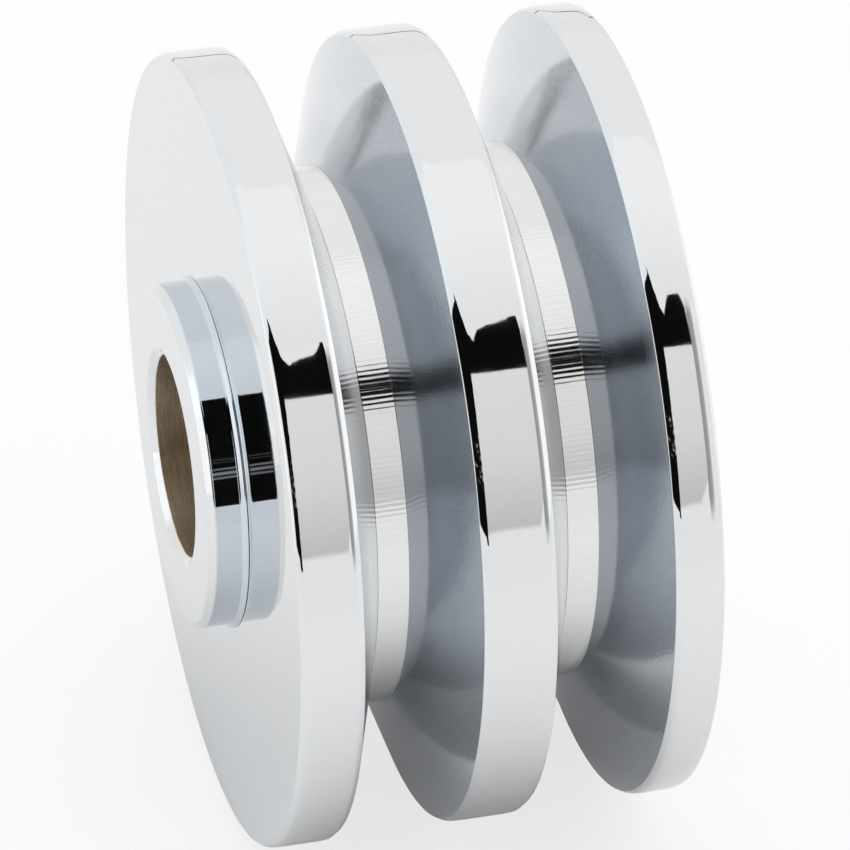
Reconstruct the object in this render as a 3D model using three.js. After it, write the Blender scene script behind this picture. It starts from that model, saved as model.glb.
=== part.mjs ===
// Double-groove V-belt pulley, built up from a collared hub sleeve, three flanges and two groove rings.
// Millimetres, +Z up. The pulley turns about the Y axis, with its nose towards -Y.
// The origin is on the bore axis, half way along the pulley.
import * as THREE from 'three';

// ---- driving dimensions -------------------------------------------------
const OD = 66.75;                 // outside diameter of the three rims
const BORE_D = 17.0;              // shaft bore
const GROOVE_HALF_ANGLE = 19.0;   // degrees, each wall from the groove's centre plane
const ROOT_D = 45.2;              // diameter at the bottom of a groove
const ROOT_WIDTH = 2.64;          // flat at the bottom of a groove
const GROOVE_PITCH = 15.93;       // first groove to second groove

const FRONT_FACE = 0.0;           // stations along the axis, from the front flange's face
const NOSE_HEIGHT = 3.26;         // nose above the front face
const GROOVE_1 = 10.25;           // centre plane of the first groove
const GROOVE_2 = GROOVE_1 + GROOVE_PITCH;
const REAR_FACE = 35.15;          // back of the rear flange

const NOSE_D = 28.9;              // outside diameter of the nose collar
const NOSE_BEVEL_A = 0.60;        // nose bevel along the axis
const NOSE_BEVEL_R = 0.48;        // nose bevel across the axis
const NOSE_FOOT = 0.36;           // fillet where the nose meets the front face
const OPEN_FACE_R = 15.2;         // the front face is open from here outwards, clear of the nose's foot
const BORE_CHAMFER_A = 0.54;      // bore mouth chamfer along the axis
const BORE_CHAMFER_R = 0.67;      // bore mouth chamfer across the axis

const EDGE_A = 0.44;              // rim edge bevel along the axis
const EDGE_R = 0.33;              // rim edge bevel across the axis
const REAR_EDGE = 0.62;           // softer edge at the back of the rear rim

const SLEEVE_D = 25.0;            // hub sleeve inside the stack
const RECESS_D = 34.0;            // nut recess in the back of the rear flange
const RECESS_DEPTH = 5.0;
const RECESS_CHAMFER = 0.5;

const CLEAR = 0.04;               // gap between neighbouring pieces
const SEGMENTS = 72;              // facets around the axis

// ---- derived ------------------------------------------------------------
const R = OD / 2, BORE_R = BORE_D / 2, ROOT_R = ROOT_D / 2, NOSE_R = NOSE_D / 2;
const SLEEVE_R = SLEEVE_D / 2, RECESS_R = RECESS_D / 2;
const MID = (REAR_FACE - NOSE_HEIGHT) / 2;
const SLOPE = Math.tan(THREE.MathUtils.degToRad(GROOVE_HALF_ANGLE));
const WALL_R = R - EDGE_R;                                   // groove wall meets the rim bevel here
const ROOT_HALF = ROOT_WIDTH / 2;
const MOUTH_HALF = ROOT_HALF + (WALL_R - ROOT_R) * SLOPE;
const SEAT = REAR_FACE - RECESS_DEPTH;

// A ring: a closed profile of [station, radius] points turned about the Y axis.
function ring(name, profile, color, roughness, metalness) {
  const pts = profile.map(([a, r]) => new THREE.Vector2(r, a - MID)).reverse();
  pts.push(pts[0].clone());
  const geometry = new THREE.LatheGeometry(pts, SEGMENTS);
  const mesh = new THREE.Mesh(geometry, new THREE.MeshStandardMaterial({ color, roughness, metalness }));
  mesh.name = name;
  return mesh;
}

// A quarter fillet, as points from angle t0 to t1 (degrees) about a centre.
function arc(ca, cr, rad, t0, t1, n) {
  const out = [];
  for (let i = 0; i <= n; i++) {
    const t = THREE.MathUtils.degToRad(t0 + (t1 - t0) * i / n);
    out.push([ca + rad * Math.cos(t), cr + rad * Math.sin(t)]);
  }
  return out;
}

const group = new THREE.Group();

// Collared hub sleeve: bore, mouth chamfers, nose with a beveled face, small foot fillet, plain sleeve.
group.add(ring('hub_sleeve', [
  [-NOSE_HEIGHT + BORE_CHAMFER_A, BORE_R],
  [SEAT - BORE_CHAMFER_A - CLEAR, BORE_R],
  [SEAT - CLEAR, BORE_R + BORE_CHAMFER_R],
  [SEAT - CLEAR, SLEEVE_R],
  [FRONT_FACE - CLEAR, SLEEVE_R],
  [FRONT_FACE - CLEAR, NOSE_R + NOSE_FOOT],
  ...arc(FRONT_FACE - CLEAR - NOSE_FOOT, NOSE_R + NOSE_FOOT, NOSE_FOOT, -30, -90, 2),
  [-NOSE_HEIGHT + NOSE_BEVEL_A, NOSE_R],
  [-NOSE_HEIGHT, NOSE_R - NOSE_BEVEL_R],
  [-NOSE_HEIGHT, BORE_R + BORE_CHAMFER_R],
], 0xdfe3e6, 0.08, 1.0));

// Front flange: polished front face, rim land with two beveled edges, wall of the first groove.
group.add(ring('front_flange', [
  [FRONT_FACE, OPEN_FACE_R],
  [FRONT_FACE, SLEEVE_R + CLEAR],
  [GROOVE_1 - ROOT_HALF, SLEEVE_R + CLEAR],
  [GROOVE_1 - ROOT_HALF, ROOT_R],
  [GROOVE_1 - MOUTH_HALF, WALL_R],
  [GROOVE_1 - MOUTH_HALF - EDGE_A, R],
  [FRONT_FACE + EDGE_A * 0.8, R],
  [FRONT_FACE, WALL_R],
], 0xe6e9eb, 0.05, 1.0));

// Groove rings: the flat bottoms of the two grooves.
for (const [name, centre] of [['front_groove_ring', GROOVE_1], ['rear_groove_ring', GROOVE_2]]) {
  group.add(ring(name, [
    [centre - ROOT_HALF + CLEAR, SLEEVE_R + CLEAR],
    [centre + ROOT_HALF - CLEAR, SLEEVE_R + CLEAR],
    [centre + ROOT_HALF - CLEAR, ROOT_R],
    [centre - ROOT_HALF + CLEAR, ROOT_R],
  ], 0xd9dcde, 0.18, 1.0));
}

// Centre flange: a groove wall on each side of its rim land.
group.add(ring('centre_flange', [
  [GROOVE_1 + ROOT_HALF, SLEEVE_R + CLEAR],
  [GROOVE_2 - ROOT_HALF, SLEEVE_R + CLEAR],
  [GROOVE_2 - ROOT_HALF, ROOT_R],
  [GROOVE_2 - MOUTH_HALF, WALL_R],
  [GROOVE_2 - MOUTH_HALF - EDGE_A, R],
  [GROOVE_1 + MOUTH_HALF + EDGE_A, R],
  [GROOVE_1 + MOUTH_HALF, WALL_R],
  [GROOVE_1 + ROOT_HALF, ROOT_R],
], 0xe2e5e7, 0.07, 1.0));

// Rear flange: wall of the second groove, rim land, soft back edge, and a shallow recess for the shaft nut.
group.add(ring('rear_flange', [
  [GROOVE_2 + ROOT_HALF, SLEEVE_R + CLEAR],
  [SEAT, SLEEVE_R + CLEAR],
  [SEAT, RECESS_R],
  [REAR_FACE - RECESS_CHAMFER, RECESS_R],
  [REAR_FACE, RECESS_R + RECESS_CHAMFER],
  ...arc(REAR_FACE - REAR_EDGE, R - REAR_EDGE, REAR_EDGE, 0, 90, 3),
  [GROOVE_2 + MOUTH_HALF + EDGE_A, R],
  [GROOVE_2 + MOUTH_HALF, WALL_R],
  [GROOVE_2 + ROOT_HALF, ROOT_R],
], 0xe2e5e7, 0.07, 1.0));

export default group;
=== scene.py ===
import math

import bmesh
import bpy
from mathutils import Matrix, Vector


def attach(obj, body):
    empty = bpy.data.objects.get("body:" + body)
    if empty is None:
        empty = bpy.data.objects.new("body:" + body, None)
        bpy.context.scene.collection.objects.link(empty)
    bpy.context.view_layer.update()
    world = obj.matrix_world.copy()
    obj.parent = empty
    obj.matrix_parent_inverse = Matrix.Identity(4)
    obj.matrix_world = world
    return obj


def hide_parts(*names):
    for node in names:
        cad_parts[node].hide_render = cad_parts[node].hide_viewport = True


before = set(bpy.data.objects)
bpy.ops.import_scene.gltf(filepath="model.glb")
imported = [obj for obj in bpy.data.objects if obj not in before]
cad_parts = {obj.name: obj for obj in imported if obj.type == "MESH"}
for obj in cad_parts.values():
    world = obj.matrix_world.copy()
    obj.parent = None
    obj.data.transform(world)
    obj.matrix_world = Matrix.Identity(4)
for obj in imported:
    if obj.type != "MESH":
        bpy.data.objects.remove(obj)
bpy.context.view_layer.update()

# ---------------------------------------------------------------------------
# dimensions, in millimetres: stations run along the bore axis from the front
# flange's face, and MID puts the origin half way along the pulley
# ---------------------------------------------------------------------------
R = 33.375
BORE_R = 8.5
ROOT_R = 22.6
ROOT_HALF = 1.32
SLOPE = math.tan(math.radians(19.0))
EDGE_A, EDGE_R = 0.44, 0.33
WALL_R = R - EDGE_R
MOUTH_HALF = ROOT_HALF + (WALL_R - ROOT_R) * SLOPE
GROOVE_1, GROOVE_2 = 10.25, 26.18
NOSE_H = 3.26
NOSE_R = 14.45
NOSE_BEVEL_A, NOSE_BEVEL_R = 0.60, 0.48
NOSE_FOOT = 0.36
CHAMFER_A, CHAMFER_R = 0.54, 0.67
REAR = 35.15
REAR_EDGE = 0.62
SLEEVE_R = 12.5
RECESS_R, RECESS_DEPTH = 17.0, 5.0
SEAT = REAR - RECESS_DEPTH
CLEAR = 0.04
MID = (REAR - NOSE_H) / 2.0

scene = bpy.context.scene


# ---------------------------------------------------------------------------
# mesh code: a turned ring from a closed profile whose corners are rounded
# ---------------------------------------------------------------------------
def rounded(points, radii, steps=6, hold=0.05):
    """A closed profile of (station, radius) points, each corner filleted, with a point held close to both ends
    of every fillet so that the flats stay flat when shaded."""
    out = []
    n = len(points)
    for i, (p, rad) in enumerate(zip(points, radii)):
        a = Vector(points[i - 1]) - Vector(p)
        b = Vector(points[(i + 1) % n]) - Vector(p)
        la, lb = a.length, b.length
        a.normalize()
        b.normalize()
        p = Vector(p)
        ang = math.acos(max(-1.0, min(1.0, a.dot(b))))
        if rad <= 0 or ang > math.radians(179.0):
            out.append((p, True))
            continue
        cut = rad / math.tan(ang / 2.0)
        cut = min(cut, 0.45 * la, 0.45 * lb)
        r = cut * math.tan(ang / 2.0)
        bis = (a + b).normalized()
        c = p + bis * (r / math.sin(ang / 2.0))
        s, e = p + a * cut, p + b * cut
        t0 = math.atan2(s.y - c.y, s.x - c.x)
        t1 = math.atan2(e.y - c.y, e.x - c.x)
        d = (t1 - t0 + math.pi) % (2 * math.pi) - math.pi
        ha = min(hold, 0.3 * (la - cut))
        hb = min(hold, 0.3 * (lb - cut))
        out.append((s + a * ha, True))
        for k in range(steps + 1):
            t = t0 + d * k / steps
            out.append((Vector((c.x + r * math.cos(t), c.y + r * math.sin(t))), True))
        out.append((e + b * hb, True))
    pts = []
    for q, _ in out:
        if not pts or (q - pts[-1]).length > 1e-4:
            pts.append(q)
    if (pts[0] - pts[-1]).length <= 1e-4:
        pts.pop()
    return pts


def shoulder(a, r, sign, tilt, decay, reach=1.3, n=9):
    """Points along a rim land that rolls off towards its edge at station a. sign is the way from the edge into the
    land; the land's tilt is `tilt` degrees at the edge and dies away with `decay` millimetres."""
    t0 = math.radians(tilt)
    out = []
    for i in range(n):
        d = reach * (i / (n - 1)) ** 1.8
        out.append((a + sign * d, r - t0 * decay * math.exp(-d / decay) - 0.0021 * max(0.0, 2.1 - d) ** 2))
    return out


def split_long(pts, limit):
    """Adds points along long straight stretches."""
    out = []
    for i, p in enumerate(pts):
        q = pts[(i + 1) % len(pts)]
        out.append(p)
        k = int((q - p).length / limit)
        for j in range(1, k + 1):
            out.append(p.lerp(q, j / (k + 1)))
    return out


def turned(name, pts, segments, materials, pick):
    """The ring about the Y axis. pick(station, radius) gives a face's material index from its middle."""
    bm = bmesh.new()
    rings = []
    for k in range(segments):
        t = 2 * math.pi * k / segments
        ct, st = math.cos(t), math.sin(t)
        rings.append([bm.verts.new((p.y * ct / 1000.0, (p.x - MID) / 1000.0, p.y * st / 1000.0)) for p in pts])
    m = len(pts)
    for k in range(segments):
        a, b = rings[k], rings[(k + 1) % segments]
        for i in range(m):
            j = (i + 1) % m
            f = bm.faces.new((a[i], a[j], b[j], b[i]))
            f.smooth = True
            f.material_index = pick((pts[i].x + pts[j].x) / 2, (pts[i].y + pts[j].y) / 2)
    bm.normal_update()
    bmesh.ops.recalc_face_normals(bm, faces=bm.faces)
    me = bpy.data.meshes.new(name)
    bm.to_mesh(me)
    bm.free()
    for mat in materials:
        me.materials.append(mat)
    ob = bpy.data.objects.new(name, me)
    scene.collection.objects.link(ob)
    return ob


# ---------------------------------------------------------------------------
# materials
# ---------------------------------------------------------------------------
class Net:
    def __init__(self, name):
        self.mat = bpy.data.materials.new(name)
        self.mat.use_nodes = True
        self.nt = self.mat.node_tree
        self.nt.nodes.clear()
        self.out = self.node("ShaderNodeOutputMaterial")
        self.bsdf = self.node("ShaderNodeBsdfPrincipled")
        self.link(self.bsdf.outputs["BSDF"], self.out.inputs["Surface"])
        co = self.node("ShaderNodeTexCoord")
        self.co = co.outputs["Object"]
        sep = self.node("ShaderNodeSeparateXYZ")
        self.link(self.co, sep.inputs[0])
        self.x, self.y, self.z = sep.outputs
        self.r = self.math("SQRT", self.math("ADD", self.math("MULTIPLY", self.x, self.x), self.math("MULTIPLY", self.z, self.z)))
        self.th = self.math("ARCTAN2", self.z, self.x)

    def node(self, kind):
        return self.nt.nodes.new(kind)

    def link(self, a, b):
        self.nt.links.new(a, b)

    def put(self, sock, v):
        if hasattr(v, "is_linked") or isinstance(v, bpy.types.NodeSocket):
            self.link(v, sock)
        else:
            sock.default_value = v

    def math(self, op, a, b=None, c=None, clamp=False):
        n = self.node("ShaderNodeMath")
        n.operation = op
        n.use_clamp = clamp
        for i, v in enumerate((a, b, c)):
            if v is not None:
                self.put(n.inputs[i], v)
        return n.outputs[0]

    def vec(self, x, y, z):
        n = self.node("ShaderNodeCombineXYZ")
        for i, v in enumerate((x, y, z)):
            self.put(n.inputs[i], v)
        return n.outputs[0]

    def noise(self, vector, scale, detail=2.0, rough=0.5, distort=0.0):
        n = self.node("ShaderNodeTexNoise")
        self.link(vector, n.inputs["Vector"])
        n.inputs["Scale"].default_value = scale
        n.inputs["Detail"].default_value = detail
        n.inputs["Roughness"].default_value = rough
        n.inputs["Distortion"].default_value = distort
        return n.outputs["Fac"]

    def voronoi(self, vector, scale, feature="F1"):
        n = self.node("ShaderNodeTexVoronoi")
        n.feature = feature
        self.link(vector, n.inputs["Vector"])
        n.inputs["Scale"].default_value = scale
        return n.outputs["Distance"]

    def ramp(self, v, lo, hi, a=0.0, b=1.0):
        n = self.node("ShaderNodeMapRange")
        n.interpolation_type = "SMOOTHSTEP"
        self.put(n.inputs["Value"], v)
        n.inputs["From Min"].default_value = lo
        n.inputs["From Max"].default_value = hi
        n.inputs["To Min"].default_value = a
        n.inputs["To Max"].default_value = b
        return n.outputs["Result"]

    def mix(self, f, a, b):
        n = self.node("ShaderNodeMix")
        n.data_type = "RGBA"
        self.put(n.inputs[0], f)
        for i, v in ((6, a), (7, b)):
            if isinstance(v, tuple):
                n.inputs[i].default_value = (*v, 1.0)
            else:
                self.link(v, n.inputs[i])
        return n.outputs[2]

    def bump(self, height, dist, strength=1.0, normal=None):
        n = self.node("ShaderNodeBump")
        n.inputs["Strength"].default_value = strength
        n.inputs["Distance"].default_value = dist
        self.link(height, n.inputs["Height"])
        if normal is not None:
            self.link(normal, n.inputs["Normal"])
        return n.outputs["Normal"]


def chrome_mirror(name, tint, rough=0.035):
    s = Net(name)
    b = s.bsdf
    b.inputs["Metallic"].default_value = 1.0
    wob = s.noise(s.co, 170.0, 1.5)
    fine = s.noise(s.co, 900.0, 3.0, 0.6)
    pits = s.voronoi(s.co, 160.0)
    pit = s.ramp(pits, 0.02, 0.07, 0.0, 1.0)
    hazy = s.ramp(s.noise(s.co, 130.0, 3.0, 0.6), 0.35, 0.75, rough * 0.7, rough * 1.5)
    s.link(hazy, b.inputs["Roughness"])
    s.link(s.mix(s.ramp(fine, 0.3, 0.7), (tint[0] * 0.985, tint[1] * 0.985, tint[2] * 0.985), tint), b.inputs["Base Color"])
    n1 = s.bump(wob, 0.000008, 1.0)
    n2 = s.bump(fine, 0.0000008, 1.0, n1)
    s.link(n2, b.inputs["Normal"])
    return s.mat


def chrome_wall(name):
    """Groove walls: plate over a less finely turned surface, with a granular skin towards the rim, and painted shade
    that darkens them towards the groove root.
    """
    s = Net(name)
    b = s.bsdf
    b.inputs["Metallic"].default_value = 1.0
    grain = s.noise(s.co, 4200.0, 2.0, 0.6)
    mott = s.noise(s.co, 420.0, 3.0, 0.6)
    outer = s.ramp(s.r, 0.0262, 0.0300)
    rough = s.math("ADD", s.ramp(mott, 0.3, 0.75, 0.085, 0.125), s.math("MULTIPLY", outer, -0.035))
    s.link(rough, b.inputs["Roughness"])
    speck = s.math("MULTIPLY", s.ramp(grain, 0.38, 0.62, 1.0, 0.0), outer)
    tone = s.mix(speck, (0.70, 0.72, 0.745), (0.635, 0.66, 0.69))
    # painted shade: the walls are darker towards the groove root, the same all round
    tone = s.mix(s.ramp(s.r, 0.0246, 0.0280, 1.0, 0.0), tone, (0.625, 0.645, 0.675))
    s.link(tone, b.inputs["Base Color"])
    turn = s.noise(s.vec(s.math("MULTIPLY", s.r, 9.0), s.math("MULTIPLY", s.th, 0.002), 0.0), 700.0, 2.0, 0.6)
    n1 = s.bump(turn, 0.0000015, 1.0)
    n2 = s.bump(s.math("MULTIPLY", grain, s.math("ADD", s.math("MULTIPLY", outer, 0.8), 0.2)), 0.000006, 1.0, n1)
    s.link(n2, b.inputs["Normal"])
    return s.mat


def chrome_root(name):
    """Groove bottoms: bright plate over chatter lines that run along the axis."""
    s = Net(name)
    b = s.bsdf
    b.inputs["Metallic"].default_value = 1.0
    wander = s.noise(s.vec(s.math("MULTIPLY", s.th, 0.4), s.y, 0.0), 3.0, 1.0)
    wave = s.math("SINE", s.math("ADD", s.math("MULTIPLY", s.th, 336.0), s.math("MULTIPLY", wander, 9.0)))
    depth = s.ramp(s.noise(s.vec(s.math("MULTIPLY", s.th, 1.7), s.math("MULTIPLY", s.y, 30.0), 0.3), 4.0, 2.0), 0.3, 0.7, 0.72, 1.0)
    ripple = s.math("MULTIPLY", wave, depth)
    streak = s.noise(s.vec(s.math("MULTIPLY", s.th, 1.0), s.math("MULTIPLY", s.y, 2.0), 0.0), 220.0, 3.0, 0.6)
    s.link(s.ramp(streak, 0.3, 0.7, 0.05, 0.11), b.inputs["Roughness"])
    s.link(s.mix(s.ramp(streak, 0.3, 0.7), (0.745, 0.75, 0.75), (0.79, 0.795, 0.79)), b.inputs["Base Color"])
    n1 = s.bump(ripple, 0.0000030, 1.0)
    n2 = s.bump(streak, 0.0000015, 1.0, n1)
    s.link(n2, b.inputs["Normal"])
    return s.mat


def bare_steel(name):
    """The bore: unplated turned steel, browned, with fine turning marks and a little grime."""
    s = Net(name)
    b = s.bsdf
    b.inputs["Metallic"].default_value = 1.0
    turn = s.noise(s.vec(s.math("MULTIPLY", s.y, 60.0), s.math("MULTIPLY", s.th, 0.05), 0.0), 60.0, 3.0, 0.65)
    blot = s.noise(s.vec(s.math("MULTIPLY", s.y, 60.0), s.math("MULTIPLY", s.th, 0.9), 0.0), 2.4, 4.0, 0.6)
    base = s.mix(s.ramp(blot, 0.3, 0.7), (0.56, 0.47, 0.35), (0.80, 0.69, 0.53))
    col = s.mix(s.ramp(turn, 0.35, 0.65, 0.0, 0.5), base, (0.22, 0.17, 0.11))
    s.link(col, b.inputs["Base Color"])
    s.link(s.ramp(turn, 0.3, 0.7, 0.32, 0.5), b.inputs["Roughness"])
    s.link(s.bump(turn, 0.000008, 1.0), b.inputs["Normal"])
    return s.mat


M_RIM = chrome_mirror("rim_chrome", (0.762, 0.771, 0.781))
M_NOSE = chrome_mirror("nose_chrome_look", (0.625, 0.67, 0.72))
M_WALL = chrome_wall("wall_chrome")
M_ROOT = chrome_root("root_chrome")
M_BORE = bare_steel("bore_steel")

# ---------------------------------------------------------------------------
# the pieces
# ---------------------------------------------------------------------------
SEG = 320
LEFT = (15.0, 0.30)          # roll-off of a rim land towards the nose: tilt in degrees, decay in millimetres
RIGHT = (10.0, 0.24)         # and towards the back


def piece(name, node, corners, materials, pick, limit=1.2):
    """corners holds (station, radius, fillet) corners, and lists of plain points that are kept as they are."""
    points, radii = [], []
    for c in corners:
        if isinstance(c, list):
            points += c
            radii += [0.0] * len(c)
        else:
            points.append(c[:2])
            radii.append(c[2])
    ob = turned(name, split_long(rounded(points, radii), limit), SEG, materials, pick)
    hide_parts(node)
    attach(ob, "root")
    return ob


# groove wall faces are told from rim and face by station and radius
def pick_flange(front_wall=None, back_wall=None):
    def pick(a, r):
        for centre, side in ((front_wall, -1), (back_wall, 1)):
            if centre is None:
                continue
            edge = centre - side * (ROOT_HALF + (r - ROOT_R) * SLOPE)
            if ROOT_R - 0.05 < r < WALL_R - 0.02 and abs(a - edge) < 0.12:
                return 1
        return 0
    return pick


hub = piece(
    "hub_with_nose", "hub_sleeve",
    [(-NOSE_H + CHAMFER_A, BORE_R, 0.10), (SEAT - CHAMFER_A - CLEAR, BORE_R, 0.15), (SEAT - CLEAR, BORE_R + CHAMFER_R, 0.1), (SEAT - CLEAR, SLEEVE_R, 0.1),
     (-CLEAR, SLEEVE_R, 0.05), (-CLEAR, NOSE_R + NOSE_FOOT, 0.0), (-CLEAR - 0.04, NOSE_R + NOSE_FOOT, 0.0), (-CLEAR - NOSE_FOOT, NOSE_R, 0.3),
     (-NOSE_H + NOSE_BEVEL_A, NOSE_R, 0.25), (-NOSE_H, NOSE_R - NOSE_BEVEL_R, 0.25), (-NOSE_H, BORE_R + CHAMFER_R, 0.12)],
    [M_NOSE, M_BORE, M_RIM],
    lambda a, r: 1 if r < BORE_R + 0.04 and a > -NOSE_H + CHAMFER_A * 0.9 else (2 if a < -NOSE_H + NOSE_BEVEL_A - 0.02 or a > SEAT - 0.6 else 0),
)

front = piece(
    "front_flange_plated", "front_flange",
    [(0, SLEEVE_R + CLEAR, 0.1), (GROOVE_1 - ROOT_HALF, SLEEVE_R + CLEAR, 0.1), (GROOVE_1 - ROOT_HALF, ROOT_R, 0.04),
     (GROOVE_1 - MOUTH_HALF, WALL_R, 0.12),
     shoulder(GROOVE_1 - MOUTH_HALF - EDGE_A, R, -1, *RIGHT), shoulder(EDGE_A * 0.8, R, 1, *LEFT)[::-1],
     (0, WALL_R, 0.14)],
    [M_RIM, M_WALL], pick_flange(None, GROOVE_1),
)

centre = piece(
    "centre_flange_plated", "centre_flange",
    [(GROOVE_1 + ROOT_HALF, SLEEVE_R + CLEAR, 0.1), (GROOVE_2 - ROOT_HALF, SLEEVE_R + CLEAR, 0.1), (GROOVE_2 - ROOT_HALF, ROOT_R, 0.04),
     (GROOVE_2 - MOUTH_HALF, WALL_R, 0.12),
     shoulder(GROOVE_2 - MOUTH_HALF - EDGE_A, R, -1, *RIGHT), shoulder(GROOVE_1 + MOUTH_HALF + EDGE_A, R, 1, *LEFT)[::-1],
     (GROOVE_1 + MOUTH_HALF, WALL_R, 0.12), (GROOVE_1 + ROOT_HALF, ROOT_R, 0.04)],
    [M_RIM, M_WALL], pick_flange(GROOVE_1, GROOVE_2),
)

back = piece(
    "rear_flange_plated", "rear_flange",
    [(GROOVE_2 + ROOT_HALF, SLEEVE_R + CLEAR, 0.1), (SEAT, SLEEVE_R + CLEAR, 0.15), (SEAT, RECESS_R, 0.3), (REAR - 0.5, RECESS_R, 0.2),
     (REAR, RECESS_R + 0.5, 0.2), (REAR, R - 0.17, 0.5),
     shoulder(REAR - REAR_EDGE, R, -1, *RIGHT), shoulder(GROOVE_2 + MOUTH_HALF + EDGE_A, R, 1, *LEFT)[::-1],
     (GROOVE_2 + MOUTH_HALF, WALL_R, 0.12), (GROOVE_2 + ROOT_HALF, ROOT_R, 0.04)],
    [M_RIM, M_WALL], pick_flange(GROOVE_2, None),
)

for name, node, c in (("front_groove_ring_plated", "front_groove_ring", GROOVE_1), ("rear_groove_ring_plated", "rear_groove_ring", GROOVE_2)):
    piece(
        name, node,
        [(c - ROOT_HALF + 0.01, SLEEVE_R + CLEAR, 0.1), (c + ROOT_HALF - 0.01, SLEEVE_R + CLEAR, 0.1),
         (c + ROOT_HALF - 0.01, ROOT_R, 0.03), (c - ROOT_HALF + 0.01, ROOT_R, 0.03)],
        [M_ROOT], lambda a, r: 0,
    )

# ---------------------------------------------------------------------------
# floor, light, camera
# ---------------------------------------------------------------------------
FLOOR_R = 0.42
bm = bmesh.new()
n = 128
ringv = []
for rad in (0.05, 0.12, 0.3, FLOOR_R):
    ringv.append([bm.verts.new((rad * math.cos(2 * math.pi * k / n), rad * math.sin(2 * math.pi * k / n), 0)) for k in range(n)])
bm.faces.new(ringv[0])
for a, b in zip(ringv, ringv[1:]):
    for k in range(n):
        bm.faces.new((a[k], b[k], b[(k + 1) % n], a[(k + 1) % n]))
me = bpy.data.meshes.new("floor")
bmesh.ops.recalc_face_normals(bm, faces=bm.faces)
bm.to_mesh(me)
bm.free()
floor = bpy.data.objects.new("floor", me)
floor.location = (0, 0, -R / 1000.0 - 0.00005)
scene.collection.objects.link(floor)
fm = bpy.data.materials.new("floor_white")
fm.use_nodes = True
ft = fm.node_tree
fb = ft.nodes["Principled BSDF"]
fb.inputs["Roughness"].default_value = 0.9
fb.inputs["Specular IOR Level"].default_value = 0.05
fb.inputs["Emission Color"].default_value = (1.0, 1.0, 1.0, 1.0)
# painted light: the table glows a little, less near the pulley and more away from it, which paints shade around the
# pulley
fd = ft.nodes.new("ShaderNodeVectorMath")
fd.operation = "LENGTH"
fdist_in = fd.inputs[0]
painted_glow_ramp = ft.nodes.new("ShaderNodeMapRange")
painted_glow_ramp.interpolation_type = "SMOOTHSTEP"
ft.links.new(fd.outputs["Value"], painted_glow_ramp.inputs["Value"])
for sock, val in (("From Min", 0.014), ("From Max", 0.044), ("To Min", 0.05), ("To Max", 0.16)):
    painted_glow_ramp.inputs[sock].default_value = val
ft.links.new(painted_glow_ramp.outputs["Result"], fb.inputs["Emission Strength"])
fc = ft.nodes.new("ShaderNodeTexCoord")
fs = ft.nodes.new("ShaderNodeSeparateXYZ")
ft.links.new(fc.outputs["Object"], fs.inputs[0])
ft.links.new(fc.outputs["Object"], fdist_in)
# painted shade: the table's colour is darker on the negative-x side of the pulley and a little darker far out on
# positive x
fr = ft.nodes.new("ShaderNodeMapRange")
fr.interpolation_type = "SMOOTHSTEP"
ft.links.new(fs.outputs[0], fr.inputs["Value"])
fr.inputs["From Min"].default_value = -0.05
fr.inputs["From Max"].default_value = 0.01
fr.inputs["To Min"].default_value = 0.89
fr.inputs["To Max"].default_value = 0.97
fg = ft.nodes.new("ShaderNodeMapRange")
fg.interpolation_type = "SMOOTHSTEP"
ft.links.new(fs.outputs[0], fg.inputs["Value"])
fg.inputs["From Min"].default_value = 0.09
fg.inputs["From Max"].default_value = 0.20
fg.inputs["To Min"].default_value = 1.0
fg.inputs["To Max"].default_value = 0.95
floor_painted_shade = ft.nodes.new("ShaderNodeMath")
floor_painted_shade.operation = "MULTIPLY"
ft.links.new(fr.outputs["Result"], floor_painted_shade.inputs[0])
ft.links.new(fg.outputs["Result"], floor_painted_shade.inputs[1])
fj = ft.nodes.new("ShaderNodeCombineXYZ")
for i in range(3):
    ft.links.new(floor_painted_shade.outputs[0], fj.inputs[i])
ft.links.new(fj.outputs[0], fb.inputs["Base Color"])
# painted light: camera rays see the table mostly as a plain white glow, which washes its shadow out to a faint one
fe = ft.nodes.new("ShaderNodeEmission")
fe.inputs["Color"].default_value = (1.0, 1.0, 1.0, 1.0)
fe.inputs["Strength"].default_value = 1.0
flp = ft.nodes.new("ShaderNodeLightPath")
fw = ft.nodes.new("ShaderNodeMath")
fw.operation = "MULTIPLY"
ft.links.new(flp.outputs["Is Camera Ray"], fw.inputs[0])
fw.inputs[1].default_value = 0.72
fx = ft.nodes.new("ShaderNodeMixShader")
ft.links.new(fw.outputs[0], fx.inputs[0])
ft.links.new(fb.outputs["BSDF"], fx.inputs[1])
ft.links.new(fe.outputs["Emission"], fx.inputs[2])
fo = [k for k in ft.nodes if k.bl_idname == "ShaderNodeOutputMaterial"][0]
ft.links.new(fx.outputs[0], fo.inputs["Surface"])
me.materials.append(fm)

# The surroundings: a white tent, brighter at its two sides. On the camera's side it has the dark opening that the
# camera looks through, with a pale board standing beside the opening, and behind the pulley a thin dark seam where
# the table ends. s is the direction's part along the bore axis, ph its angle about that axis (0 level, 90 up).
world = bpy.data.worlds.new("tent")
scene.world = world
world.use_nodes = True
wn = world.node_tree
wn.nodes.clear()


def wnode(kind):
    return wn.nodes.new(kind)


def wm(op, a, b=None, c=None, clamp=False):
    k = wnode("ShaderNodeMath")
    k.operation = op
    k.use_clamp = clamp
    for i, v in enumerate((a, b, c)):
        if v is not None:
            if isinstance(v, (int, float)):
                k.inputs[i].default_value = v
            else:
                wn.links.new(v, k.inputs[i])
    return k.outputs[0]


def wstep(v, lo, hi, a=0.0, b=1.0, kind="SMOOTHSTEP"):
    k = wnode("ShaderNodeMapRange")
    k.interpolation_type = kind
    wn.links.new(v, k.inputs["Value"])
    for sock, val in (("From Min", lo), ("From Max", hi), ("To Min", a), ("To Max", b)):
        k.inputs[sock].default_value = val
    return k.outputs["Result"]


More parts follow.
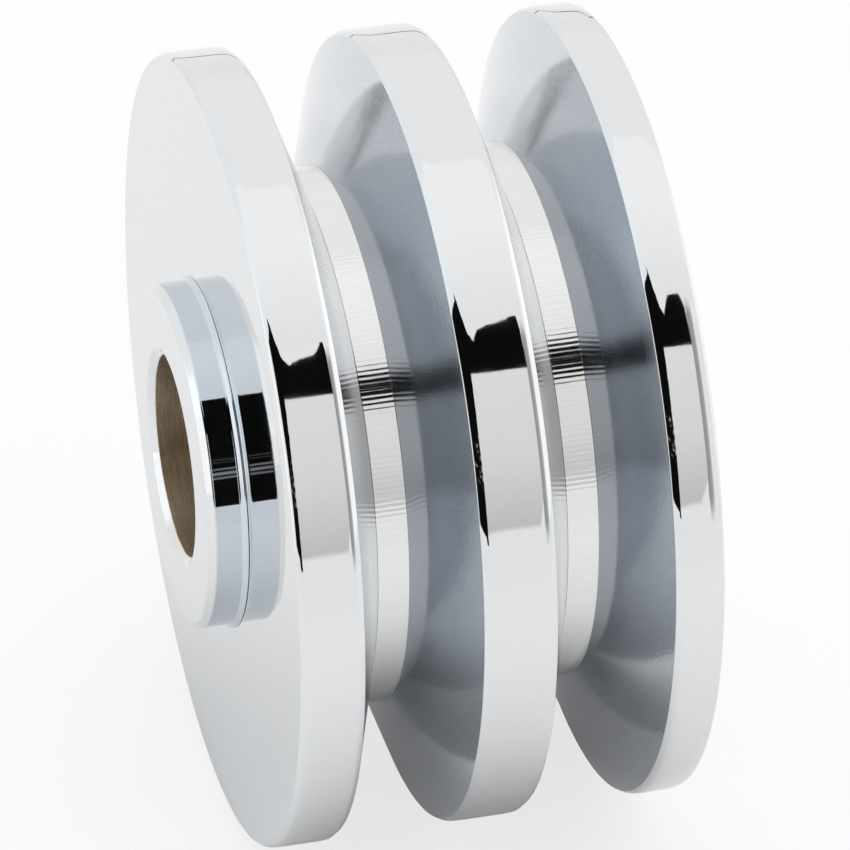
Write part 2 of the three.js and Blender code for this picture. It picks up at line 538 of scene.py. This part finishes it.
def wnoise(x, y, z, scale, detail=1.0):
    j = wnode("ShaderNodeCombineXYZ")
    for i, v in enumerate((x, y, z)):
        if isinstance(v, (int, float)):
            j.inputs[i].default_value = v
        else:
            wn.links.new(v, j.inputs[i])
    k = wnode("ShaderNodeTexNoise")
    wn.links.new(j.outputs[0], k.inputs["Vector"])
    k.inputs["Scale"].default_value = scale
    k.inputs["Detail"].default_value = detail
    return wm("SUBTRACT", k.outputs["Fac"], 0.5)


def both(*fs):
    v = fs[0]
    for f in fs[1:]:
        v = wm("MULTIPLY", v, f)
    return v


def mixin(old, mask, new):
    """old where mask is 0, new where it is 1."""
    return wm("ADD", wm("MULTIPLY", old, wm("SUBTRACT", 1.0, mask)), wm("MULTIPLY", new, mask))


wco = wnode("ShaderNodeTexCoord").outputs["Generated"]
wsep = wnode("ShaderNodeSeparateXYZ")
wn.links.new(wco, wsep.inputs[0])
wx, ws, wz = wsep.outputs
phi = wm("MULTIPLY", wm("ARCTAN2", wz, wx), 180.0 / math.pi)

TOP_LEVEL = 0.97
level = wm("ADD", TOP_LEVEL, 0.0)
# brighter roof panel over the camera's side, with a wavy edge overhead
seam = wm("ADD", phi, wm("MULTIPLY", wnoise(ws, 0.0, 0.0, 9.0), 5.0))
level = mixin(level, both(wstep(phi, 56.0, 62.0), wstep(seam, 110.5, 113.0, 1.0, 0.0)), wstep(phi, 60.0, 90.0, 0.93, 1.045, "LINEAR"))
# the table beyond the floor's edge, and the tent low down at the back
level = mixin(level, both(wstep(phi, -70.0, -30.0), wstep(phi, 50.0, 60.0, 1.0, 0.0)), 0.93)
level = wm("MULTIPLY", level, wstep(wm("ABSOLUTE", phi), 156.0, 174.0, 1.0, 0.93))
# side lobes
side = wm("ABSOLUTE", ws)
level = wm("ADD", level, wstep(side, 0.76, 0.86, 0.0, 0.22))

# the dim room seen past the board's far end
gloom = both(wm("GREATER_THAN", ws, 0.30), wstep(ws, 0.44, 0.54, 1.0, 0.0), wstep(phi, -8.0, 1.0), wstep(phi, 54.0, 61.0, 1.0, 0.0))
level = mixin(level, gloom, wstep(ws, 0.31, 0.44, 0.34, 0.44))

# the board: from the opening to the right
board_s = wm("ADD", ws, wstep(phi, 1.0, 10.0, 0.06, 0.0))
board = both(wm("GREATER_THAN", ws, -0.30), wstep(board_s, 0.302, 0.314, 1.0, 0.0), wstep(phi, -0.6, 1.6), wm("LESS_THAN", phi, 46.0))
board_level = wm("ADD", wstep(phi, -1.0, 22.0, 0.60, 0.81, "LINEAR"), wstep(phi, 22.0, 45.0, 0.0, 0.05, "LINEAR"))
below = both(wm("GREATER_THAN", ws, -0.30), wm("LESS_THAN", ws, 0.312), wstep(phi, -2.0, 2.0, 1.0, 0.0), wm("GREATER_THAN", phi, -20.0))
level = mixin(level, below, 0.93)
level = mixin(level, board, board_level)

# the opening: tall beside the camera's axis, and running on as a strip above the board
top_edge = wm("ADD", wm("ADD", wstep(ws, -0.20, 0.17, 69.7, 55.2, "LINEAR"), wstep(ws, 0.172, 0.222, 0.0, 5.6, "LINEAR")), wm("MULTIPLY", wnoise(ws, 3.3, 0.0, 14.0), 2.0))
top_edge = wm("SUBTRACT", top_edge, wstep(ws, 0.250, 0.295, 0.0, 4.0))
left_edge = wm("ADD", wstep(phi, 25.0, 46.0, -0.11, -0.03), wm("MULTIPLY", wnoise(phi, 1.7, 0.0, 0.35, 2.0), 0.07))
tall = both(wm("LESS_THAN", ws, left_edge), wm("GREATER_THAN", ws, -0.74), wm("GREATER_THAN", phi, -3.2), wm("LESS_THAN", phi, top_edge))
strip_end = wstep(phi, 45.7, 58.0, 0.310, 0.285, "LINEAR")
strip = both(wm("GREATER_THAN", ws, -0.05), wm("LESS_THAN", ws, strip_end), wm("GREATER_THAN", phi, 45.7), wm("LESS_THAN", phi, top_edge))
hole = wm("MAXIMUM", tall, strip)
# dim things inside the opening
streak = wstep(wnoise(wm("MULTIPLY", phi, 0.45), wm("MULTIPLY", ws, 3.0), 2.0, 1.6, 3.0), 0.06, 0.16)
inner = wm("ADD", 0.004, wm("MULTIPLY", both(wstep(phi, 12.0, 15.0), wstep(phi, 26.0, 30.0, 1.0, 0.0), streak), 0.35))
level = mixin(level, hole, inner)

# the seam behind
seam_z = wm("ADD", wstep(ws, 0.18, 0.27, -0.136, -0.060, "LINEAR"), wstep(ws, 0.27, 0.35, 0.0, 0.02, "LINEAR"))
seam_half = wstep(ws, 0.20, 0.26, 0.006, 0.010, "LINEAR")
back_seam = both(wm("LESS_THAN", wx, -0.3), wstep(ws, 0.36, 0.48, 1.0, 0.0), wm("LESS_THAN", wm("ABSOLUTE", wm("SUBTRACT", wz, seam_z)), seam_half))
level = wm("MULTIPLY", level, wm("SUBTRACT", 1.0, wm("MULTIPLY", back_seam, 0.95)))

level = wm("MULTIPLY", level, 1.05)
shown = wnode("ShaderNodeLightPath").outputs["Is Camera Ray"]
level = mixin(level, shown, 1.0)
bg = wnode("ShaderNodeBackground")
wn.links.new(level, bg.inputs["Strength"])
cool = both(wstep(ws, -0.40, -0.08, 1.0, 0.0), wstep(phi, 60.0, 70.0), wstep(phi, 150.0, 165.0, 1.0, 0.0), wm("SUBTRACT", 1.0, shown))
hue = wnode("ShaderNodeCombineXYZ")
wn.links.new(wm("SUBTRACT", 1.0, wm("MULTIPLY", cool, 0.03)), hue.inputs[0])
hue.inputs[1].default_value = 1.0
wn.links.new(wm("ADD", 1.0, wm("MULTIPLY", cool, 0.02)), hue.inputs[2])
wn.links.new(hue.outputs[0], bg.inputs["Color"])
wo = wnode("ShaderNodeOutputWorld")
wn.links.new(bg.outputs[0], wo.inputs["Surface"])

# camera, from the photograph's viewing angle
ALPHA, BETA = math.radians(11.6701), math.radians(7.86785)
F_PX, DIST, X0, Y0 = 7800.657, 649.243, -17.6534, 2.17039
a_right = math.cos(ALPHA) * math.cos(BETA)
a_up = math.cos(ALPHA) * math.sin(BETA)
a_fwd = math.sin(ALPHA)
elev = math.atan2(a_up, a_fwd)
turn = math.asin(math.hypot(a_up, a_fwd))          # 90 degrees less the azimuth
az = math.pi / 2 - turn
forward = Vector((-math.sin(az) * math.cos(elev), math.cos(az) * math.cos(elev), -math.sin(elev)))
right = Vector((math.cos(az), math.sin(az), 0.0))
upv = right.cross(forward)
p0 = Vector((0, (0.30 - MID) / 1000.0, 0))          # the fitted point on the axis
cam_pos = p0 - (right * X0 - upv * Y0 + forward * DIST) / 1000.0
cd = bpy.data.cameras.new("camera")
cd.sensor_width = 36.0
cd.lens = 36.0 * F_PX / 850.0
cd.clip_start = 0.01
cam = bpy.data.objects.new("camera", cd)
rot = Matrix((right, upv, -forward)).transposed()
cam.matrix_world = Matrix.Translation(cam_pos) @ rot.to_4x4()
scene.collection.objects.link(cam)
scene.camera = cam

scene.view_settings.view_transform = "Standard"
scene.view_settings.look = "None"
scene.view_settings.exposure = 0.0
scene.view_settings.gamma = 1.0
